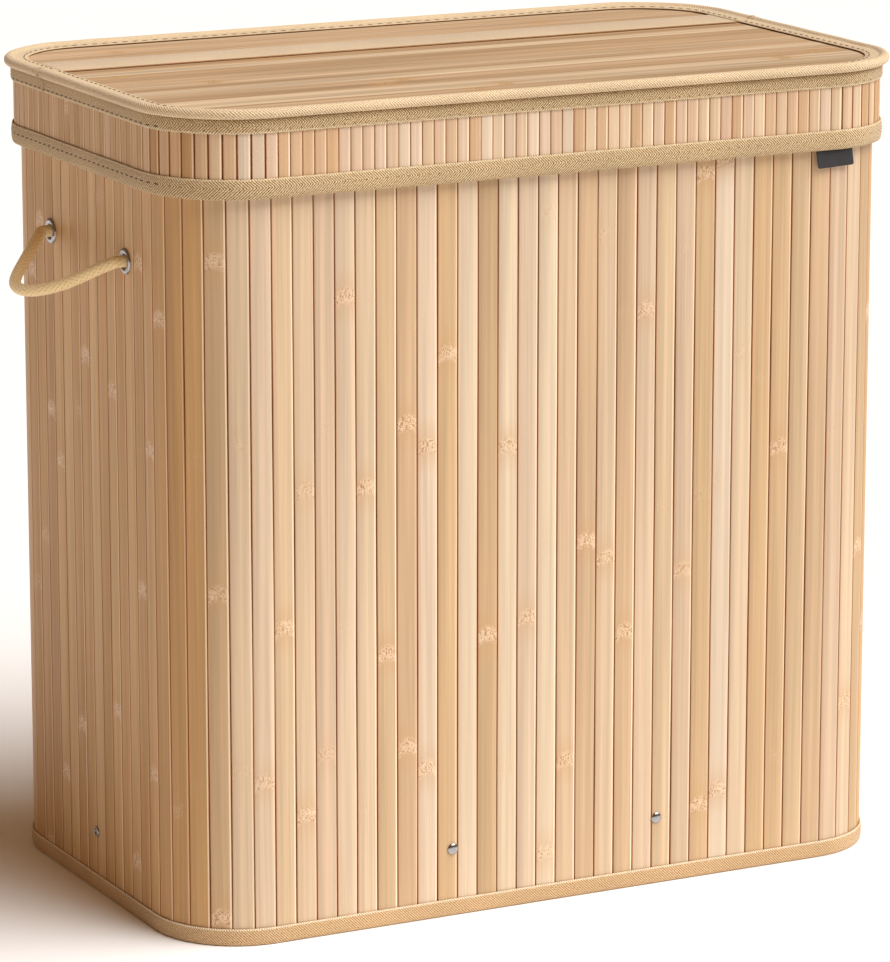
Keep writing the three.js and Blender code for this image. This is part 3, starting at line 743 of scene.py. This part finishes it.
def buildPanel(settings, front, back, low, high):
    random.seed(settings["seed"] + int(back * 1000))
    count = round((back - front) / settings["pitch"])
    pitch = (back - front) / count
    bm = bmesh.new()
    seedLayer = bm.verts.layers.float.new("slatSeed")
    for index in range(count):
        y0 = front + index * pitch + settings["gap"] / 2
        y1 = front + (index + 1) * pitch - settings["gap"] / 2
        steps = settings["endSteps"]
        right = [y0 + (y1 - y0) * k / steps for k in range(steps + 1)]
        outline = [(slatEnd(y, settings["inset"]), y) for y in right]
        outline += [(-x, y) for x, y in reversed(outline)]
        base = bm.faces.new([bm.verts.new((x, y, low)) for x, y in outline])
        lifted = bmesh.ops.extrude_face_region(bm, geom=[base])["geom"]
        top = [item for item in lifted if isinstance(item, bmesh.types.BMVert)]
        bmesh.ops.translate(bm, vec=(0, 0, high - low + random.uniform(-0.15, 0) * mm), verts=top)
        edges = [item for item in lifted if isinstance(item, bmesh.types.BMEdge)]
        seed = random.random()
        for vert in list(base.verts) + top:
            vert[seedLayer] = seed
        roundEdges(bm, edgesAlong(edges, 0, halfLength), settings["round"])
    bmesh.ops.recalc_face_normals(bm, faces=bm.faces)
    uv = bm.loops.layers.uv.new("slatUV")
    for face in bm.faces:
        centre = face.calc_center_median()
        index = math.floor((centre.y - front) / pitch)
        for loop in face.loops:
            co = loop.vert.co
            across = (co.y - front - index * pitch - settings["gap"] / 2) / (pitch - settings["gap"])
            loop[uv].uv = (min(max(across, 0), 1), co.x + halfLength)
    return bm


panelBack = halfDepth - panelSlats["inset"]
bm = buildPanel(panelSlats, -panelBack, flapBackY, panelLow[2], panelHigh[2])
addPiece("flap_strips", bm, panelBamboo, "lid_flap", ["flap_slats"], 30)
bm = buildPanel(panelSlats, creaseY, panelBack, panelLow[2], panelHigh[2])
addPiece("rear_strips", bm, panelBamboo, "lid", ["rear_strip_slats"], 30)
print("lid top slats made")


# twill bindings

def foldedTape(outer, inner, slotOut, slotIn, foldZ, openZ, puff):
    # section of a tape folded over an edge: from the outer leg's free edge, round the fold, and back
    up = 1 if openZ > foldZ else -1
    tall = abs(openZ - foldZ)
    turn = min(outer - slotOut, 1 * mm)
    return [
        (outer - 0.25 * mm, openZ), (outer, openZ - up * 0.5 * mm),
        (outer + puff, openZ - up * tall * 0.35), (outer + puff, foldZ + up * tall * 0.25),
        (outer, foldZ + up * turn),
        (outer - turn * 0.4, foldZ + up * turn * 0.3), (outer - turn, foldZ),
        (inner + turn, foldZ), (inner + turn * 0.3, foldZ + up * turn * 0.3),
        (inner, foldZ + up * turn), (inner, openZ), (slotIn, openZ),
        (slotIn, foldZ + up * turn), (slotOut, foldZ + up * turn), (slotOut, openZ),
    ]


tapes = {
    "tub_foot_tape": (1.3, -5.5, 0.3, -4.5, 0.0, footHigh[2], 0.25, footTape, "tub",
                      "mat_bottom_binding"),
    "tub_rim_tape": (0.8, -5.0, 0.3, -4.5, rimHigh[2], rimLow[2], 0.0, bandTape, "tub",
                     "mat_top_binding"),
    "skirt_lower_tape": (6.5, 1.3, 5.5, 2.1, bindLow[2], bindHigh[2], 0.45, bandTape, "lid",
                         "lid_lower_binding"),
    "skirt_upper_tape": (6.5, 1.3, 5.5, 2.1, bandHigh[2], bandLow[2], 0.3, bandTape, "lid",
                         "lid_upper_band"),
}
for name, (outer, inner, slotOut, slotIn, foldZ, openZ, puff, cloth, body, node) in tapes.items():
    section = foldedTape(outer * mm, inner * mm, slotOut * mm, slotIn * mm, foldZ, openZ, puff * mm)
    bm = sweepPlan(section, wander=0.25 * mm if body == "lid" else 0.0)
    addPiece(name, bm, cloth, body, [node], 50)


# the rolled rim

rimRoll = {"centre": 7.75 * mm, "wide": 3.75 * mm, "lipIn": -6.6 * mm, "lipUnder": 0.7 * mm,
           "lipThick": 0.9 * mm, "sides": 13, "lump": 0.25 * mm}
lipLow = panelHigh[2] + rimRoll["lipUnder"]
lipHigh = lipLow + rimRoll["lipThick"]


def addRim(name, keepFront, node, body):
    bottom, top = rollLow[2], rollHigh[2]
    middle, radius = (bottom + top) / 2, (top - bottom) / 2
    centre = rimRoll["centre"]
    section = []
    # the roll from its inner shoulder over the top, round the outside and underneath
    for index in range(rimRoll["sides"] + 1):
        angle = math.radians(150 - 280 * index / rimRoll["sides"])
        section.append((centre + rimRoll["wide"] * math.cos(angle), middle + radius * math.sin(angle)))
    # the stitched inner lip, which lies just over the ends of the panel's slats
    inward = rimRoll["lipIn"]
    section += [(centre - 4.2 * mm, bottom + 1.7 * mm), (centre - 5.2 * mm, lipLow),
                (inward + 5.6 * mm, lipLow), (inward + 0.3 * mm, lipLow + 0.05 * mm),
                (inward, lipLow + 0.45 * mm), (inward + 0.5 * mm, lipHigh - 0.05 * mm),
                (inward + 3.6 * mm, lipHigh + 0.05 * mm), (inward + 7.1 * mm, lipHigh + 0.25 * mm),
                (centre - 5 * mm, lipHigh + 0.45 * mm)]
    bm = sweepPlan(section, straightSteps=20, cornerSteps=14)
    for vert in bm.verts:
        if vert.co.z > lipHigh + 0.5 * mm:
            vert.co.z += noise.noise(vert.co * 40) * rimRoll["lump"]
    cut = flapBackY if keepFront else creaseY
    whole = list(bm.verts) + list(bm.edges) + list(bm.faces)
    bmesh.ops.bisect_plane(bm, geom=whole, dist=1e-6, plane_co=(0, cut, 0), plane_no=(0, 1, 0),
                           clear_outer=keepFront, clear_inner=not keepFront)
    bmesh.ops.holes_fill(bm, edges=[e for e in bm.edges if e.is_boundary], sides=0)
    bmesh.ops.recalc_face_normals(bm, faces=bm.faces)
    addPiece(name, bm, rollTape, body, [node], 50)


addRim("flap_roll", True, "flap_rim_roll", "lid_flap")
addRim("rear_roll", False, "rear_rim_roll", "lid")
print("bindings and rim made")


# stitching

stitch = {"pitch": 8.3 * mm, "thread": 5.4 * mm, "hole": (1.1 * mm, 0.7 * mm, 0.8 * mm),
          "flangeOut": -3.4 * mm, "flangeSize": (5.4 * mm, 1.2 * mm, 0.7 * mm), "creaseGap": 3 * mm}
stitchRows = {
    # out from the slats, height and the thread's width
    "band_stitches": (6.75 * mm, bandLow[2] + 2.4 * mm, 0.9 * mm),
    "lower_stitches": (6.95 * mm, bindLow[2] + 8.2 * mm, 1.0 * mm),
}


def addStitches(name, out, up, size, material, body, shares=(0, 1), reach=(-1, 1)):
    # a row over some shares of the way round, kept where its depth is within reach
    bm = bmesh.new()
    first, last = shares
    for index in range(round(planLength * (last - first) / stitch["pitch"])):
        spot, outward = planPlace(planLength * first + (index + 0.5) * stitch["pitch"], out)
        if not reach[0] < spot.y < reach[1]:
            continue
        place = (Matrix.Translation(spot + Vector((0, 0, up))) @ faceOutward(outward)
                 @ Matrix.Diagonal((*(side / 2 for side in size), 1)))
        bmesh.ops.create_uvsphere(bm, u_segments=6, v_segments=4, radius=1, matrix=place)
    addPiece(name, bm, material, body, (), 180)


# painted shade of the stitch dips: dark thread dashes on the left side, and elsewhere only dark needle
# holes
for name, (out, up, wide) in stitchRows.items():
    addStitches(name, out, up, stitch["hole"], needleHoleShade, "lid", (0.0, 0.68))
    addStitches(name + "_left", out, up, (stitch["thread"], 0.7 * mm, wide), threadShadeDashes, "lid",
                (0.68, 0.828))
    addStitches(name + "_front", out, up, stitch["hole"], needleHoleShade, "lid", (0.828, 1.0))
# the flange stitches are dark dashes too, painted shade of the stitch dips
for word, body, reach in (("flap", "lid_flap", (-halfDepth, creaseY - stitch["creaseGap"])),
                          ("rear", "lid", (creaseY + stitch["creaseGap"], halfDepth))):
    addStitches(word + "_flange_stitches", stitch["flangeOut"], lipHigh + 0.1 * mm, stitch["flangeSize"],
                threadShadeDashes, body, reach=reach)
print("stitching made")


# the crease between the flap and the rear strip

crease = {"tapeRound": 0.25 * mm, "webWide": 2.2 * mm, "sleeve": 5 * mm, "sleeveProud": 0.3 * mm,
          "steps": 22, "pinch": 0.3, "pinchWide": 0.9 * mm}


def flatTape(low, high, rounding):
    size = [b - a for a, b in zip(low, high)]
    bm = newBlock(*size)
    bmesh.ops.translate(bm, vec=boxMiddle(low, high), verts=bm.verts)
    roundEdges(bm, edgesAlong(bm.edges, 0, size[0] * 0.9), rounding)
    bmesh.ops.subdivide_edges(bm, edges=edgesAlong(bm.edges, 0, size[0] * 0.9), cuts=40,
                              use_grid_fill=True)
    uv = bm.loops.layers.uv.new("tapeUV")
    for face in bm.faces:
        for loop in face.loops:
            loop[uv].uv = (loop.vert.co.x, loop.vert.co.y - low[1])
    return bm


def addCrease():
    low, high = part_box("hinge_tape")
    bm = flatTape(low, high, crease["tapeRound"])
    for vert in bm.verts:
        vert.co.y += noise.noise(Vector((vert.co.x * 18, 0, 3))) * 0.35 * mm * (vert.co.y > low[1] + mm)
    addPiece("hinge_tape_woven", bm, hingeTape, "lid", ["hinge_tape"], 40)
    # a hinge web under the tape, coloured as a painted shadow line along the crease
    wide = crease["webWide"]
    bm = flatTape((low[0], flapBackY - wide, high[2] - 0.75 * mm),
                  (high[0], low[1] + 0.6 * mm, high[2] - 0.25 * mm), 0.1 * mm)
    bmesh.ops.subdivide_edges(bm, edges=edgesAlong(bm.edges, 1, wide * 0.8), cuts=4, use_grid_fill=True)
    web = addPiece("crease_shade_web", bm, creaseShadeWeb, None, (), 60)
    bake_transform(web)
    # tape wrapped round the roll where it folds
    middle = (rollLow[2] + rollHigh[2]) / 2
    for word, side in handles.items():
        bm = bmesh.new()
        centre = Vector((side * (halfLength + rimRoll["centre"]), creaseY + crease["sleeve"], middle))
        grow = crease["sleeveProud"]
        tall = (rollHigh[2] - rollLow[2]) / 2 + grow * 0.6
        oval = Matrix.Diagonal((rimRoll["wide"] + grow, 1, tall, 1))
        place = Matrix.Translation(centre) @ oval @ Matrix.Rotation(math.pi / 2, 4, "X")
        bmesh.ops.create_circle(bm, cap_ends=True, radius=1, segments=28, matrix=place)
        edges = list(bm.edges)
        for step in range(crease["steps"]):
            ring, edges = growRing(bm, edges)
            bmesh.ops.translate(bm, vec=(0, -2 * crease["sleeve"] / crease["steps"], 0), verts=ring)
        bmesh.ops.holes_fill(bm, edges=edges, sides=0)
        # the notch where the roll folds
        for vert in bm.verts:
            off = (vert.co.y - creaseY) / crease["pinchWide"]
            shrink = 1 - crease["pinch"] * math.exp(-off * off)
            vert.co.x = centre.x + (vert.co.x - centre.x) * shrink
            vert.co.z = middle + (vert.co.z - middle) * shrink
        bmesh.ops.recalc_face_normals(bm, faces=bm.faces)
        uv = bm.loops.layers.uv.new("tapeUV")
        for face in bm.faces:
            for loop in face.loops:
                co = loop.vert.co
                loop[uv].uv = (co.y, math.atan2(co.z - middle, co.x - centre.x) * rimRoll["wide"])
        sleeve = addPiece("crease_sleeve_" + word, bm, rollTape, None, (), 60)
        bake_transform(sleeve)


addCrease()


creaseLoop = {"thick": 0.45 * mm, "back": 1.8 * mm, "steps": 16, "off": 0.3 * mm}


def addCreaseThread(word, side):
    # a sewing thread that loops over the roll beside the crease and runs down the band
    middle = (rollLow[2] + rollHigh[2]) / 2
    radius = (rollHigh[2] - rollLow[2]) / 2 + creaseLoop["off"]
    points = []
    for index in range(creaseLoop["steps"] + 1):
        angle = math.radians(140 - 185 * index / creaseLoop["steps"])
        points.append(Vector((side * (halfLength + rimRoll["centre"] + radius * math.cos(angle)),
                              creaseY + creaseLoop["back"] + 0.9 * mm * math.sin(3 * angle),
                              middle + radius * math.sin(angle))))
    out = side * (halfLength + 7.1 * mm)
    for share in (0.2, 0.5, 0.8, 1.0):
        up = rollLow[2] + (bandLow[2] - rollLow[2]) * share
        points.append(Vector((out, creaseY + creaseLoop["back"] - 1.2 * mm * share, up)))
    bm = braidedTube(curvePoints(points, 0.6 * mm), creaseLoop["thick"], 8, 0)
    addPiece("crease_thread_" + word, bm, liningCloth, "lid", (), 180)


for word, side in handles.items():
    addCreaseThread(word, side)
print("crease made")


# blank label

label = {"thick": 0.8 * mm, "corner": 1.6 * mm, "edge": 0.25 * mm, "turn": 0.06}


def addLabel():
    low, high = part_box("blank_label")
    wide, tall, thick = high[0] - low[0], high[2] - low[2], label["thick"]
    bm = newBlock(wide, thick, tall)
    lowCorners = [e for e in edgesAlong(bm.edges, 1, thick / 2) if e.verts[0].co.z < 0]
    roundEdges(bm, lowCorners, label["corner"], 3)
    outline = [e for e in bm.edges if abs(e.verts[0].co.y - e.verts[1].co.y) < thick / 2]
    roundEdges(bm, outline, label["edge"])
    bmesh.ops.subdivide_edges(bm, edges=[e for e in bm.edges if e.calc_length() > wide / 2], cuts=10,
                              use_grid_fill=True)
    for vert in bm.verts:
        drop = 0.5 - vert.co.z / tall
        vert.co.x += drop * 1.6 * mm
        vert.co.z += (vert.co.x / wide) * 0.9 * mm * drop
        vert.co.y += math.sin(vert.co.x / wide * 3 + 1) * 0.35 * mm * drop - 0.3 * mm * drop
    turn = Matrix.Rotation(label["turn"], 4, "Z")
    bmesh.ops.transform(bm, matrix=Matrix.Translation(boxMiddle(low, high)) @ turn, verts=bm.verts)
    bmesh.ops.recalc_face_normals(bm, faces=bm.faces)
    piece = addPiece("blank_cloth_label", bm, labelCloth, "lid", ["blank_label"], 60)


addLabel()


# cloth liner with two compartments

liner = {"out": -5.2 * mm, "shorten": 24 * mm, "thick": 1.0 * mm, "hem": 16 * mm, "fold": 2.2 * mm,
         "levels": 30, "around": 168, "seed": 31}


def linerPlace(share, up, top, floor):
    # the plan drawn in at its short ends below the flared hem
    spot, outward = planPlace(share * planLength, liner["out"])
    flare = min(max((up - (top - 28 * mm)) / (20 * mm), 0), 1)
    flare = flare * flare * (3 - 2 * flare)
    drawnIn = liner["shorten"] * (1 - flare) * min(abs(spot.x) / straightX, 1)
    spot.x -= math.copysign(drawnIn, spot.x)
    slack = math.sin(math.pi * min(max((up - floor) / (top - floor), 0), 1)) ** 0.7
    fold = noise.noise(Vector((spot.x * 9, spot.y * 9, up * 2.2))) * 2
    fold += noise.noise(Vector((spot.x * 26, spot.y * 26, up * 6 + 7))) * 0.7
    inward = (0.5 * liner["fold"] + abs(fold) * liner["fold"]) * slack * (1 - flare)
    return spot - outward * inward + Vector((0, 0, up))


def addLiner():
    low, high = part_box("liner_bag")
    floor, top = low[2] + 0.4 * mm, high[2]
    bm = bmesh.new()
    shareLayer = bm.verts.layers.float.new("share")
    count = liner["around"]
    ring = [bm.verts.new(linerPlace(k / count, floor, top, floor)) for k in range(count)]
    base = bm.faces.new(ring)
    edges = list(base.edges)
    for k, vert in enumerate(ring):
        vert[shareLayer] = k / count
    for level in range(1, liner["levels"] + 1):
        ring, edges = growRing(bm, edges)
        up = floor + (top - floor) * level / liner["levels"]
        for vert in ring:
            vert.co = linerPlace(vert[shareLayer], up, top, floor)
    bmesh.ops.recalc_face_normals(bm, faces=bm.faces)
    bmesh.ops.solidify(bm, geom=bm.faces, thickness=liner["thick"])
    bmesh.ops.recalc_face_normals(bm, faces=bm.faces)
    addPiece("liner_sewn_bag", bm, linerCloth, "tub", ["liner_bag"], 60)
    # hem tape and the middle wall
    inner = liner["out"] - liner["thick"]
    section = [(inner - 0.1 * mm, top - liner["hem"]), (inner - 0.1 * mm, top - 0.6 * mm),
               (inner - 0.6 * mm, top), (inner - 1.2 * mm, top - 0.6 * mm),
               (inner - 1.2 * mm, top - liner["hem"])]
    addPiece("liner_hem", sweepPlan(section), linerCloth, "tub", (), 50)
    low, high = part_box("liner_divider")
    bm = newBlock(1.2 * mm, high[1] - low[1], high[2] - low[2])
    bmesh.ops.subdivide_edges(bm, edges=bm.edges, cuts=31, use_grid_fill=True)
    middle = Vector((0, 0, (low[2] + high[2]) / 2))
    bmesh.ops.translate(bm, vec=middle, verts=bm.verts)
    for vert in bm.verts:
        free = (1 - (vert.co.y / high[1]) ** 2) * min(1, (vert.co.z - low[2]) * 8)
        vert.co.x += noise.noise(Vector((vert.co.y * 8, vert.co.z * 4, 1))) * 5 * mm * free
        vert.co.z -= max(0, vert.co.z - middle.z) * 0.035 * free
    wall = addPiece("liner_middle_wall", bm, linerCloth, "tub", ["liner_divider"], 60)


addLiner()
print("label and liner made")


# floor, light and finishes

keyLight = {"from": (0.55, -0.53, 1.02), "irradiance": 3.8, "softness": 50}   # softness in degrees
sky = {"colour": "#ffca98", "strength": 0.215, "backdrop": 1.0}


def addLights():
    data = bpy.data.lights.new("key", "SUN")
    data.energy = keyLight["irradiance"]
    data.angle = math.radians(keyLight["softness"])
    lamp = bpy.data.objects.new("key", data)
    lamp.rotation_euler = Vector(keyLight["from"]).to_track_quat("Z", "Y").to_euler()
    bpy.context.scene.collection.objects.link(lamp)
    world = bpy.data.worlds.new("studio")
    world.use_nodes = True
    tree = world.node_tree
    # soft warm light from all round, and a plain white studio behind the object
    soft = tree.nodes["Background"]
    soft.inputs[0].default_value = linearColor(sky["colour"])
    soft.inputs[1].default_value = sky["strength"]
    plain = addNode(tree, "Background", {0: (1, 1, 1, 1), 1: sky["backdrop"]})
    seen = addNode(tree, "LightPath")
    both = addNode(tree, "MixShader", {0: seen.outputs["Is Camera Ray"], 1: soft, 2: plain})
    tree.links.new(both.outputs[0], tree.nodes["World Output"].inputs[0])
    bpy.context.scene.world = world


def addFloor():
    bm = bmesh.new()
    bmesh.ops.create_grid(bm, x_segments=1, y_segments=1, size=8)
    bmesh.ops.translate(bm, vec=(0, 0, -0.4 * mm), verts=bm.verts)
    material = newMaterial("paleFloor", Roughness=0.9, Base_Color=linearColor("#fdfdfd"))[0]
    floor = addPiece("floor", bm, material, None)


def dressNodes():
    # the frame's own pieces that stay, each with its real finish
    finishes = {"backing": backingCloth, "seam_tape": liningCloth, "board": hardboard,
                "_rod": drawnSteel, "bracket": cleanPlastic, "hook": hookCloth}
    for name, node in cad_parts.items():
        for word, material in finishes.items():
            if word in name:
                for place in node.material_slots:
                    place.material = material


addLights()
addFloor()
dressNodes()
print("floor, light and finishes set")
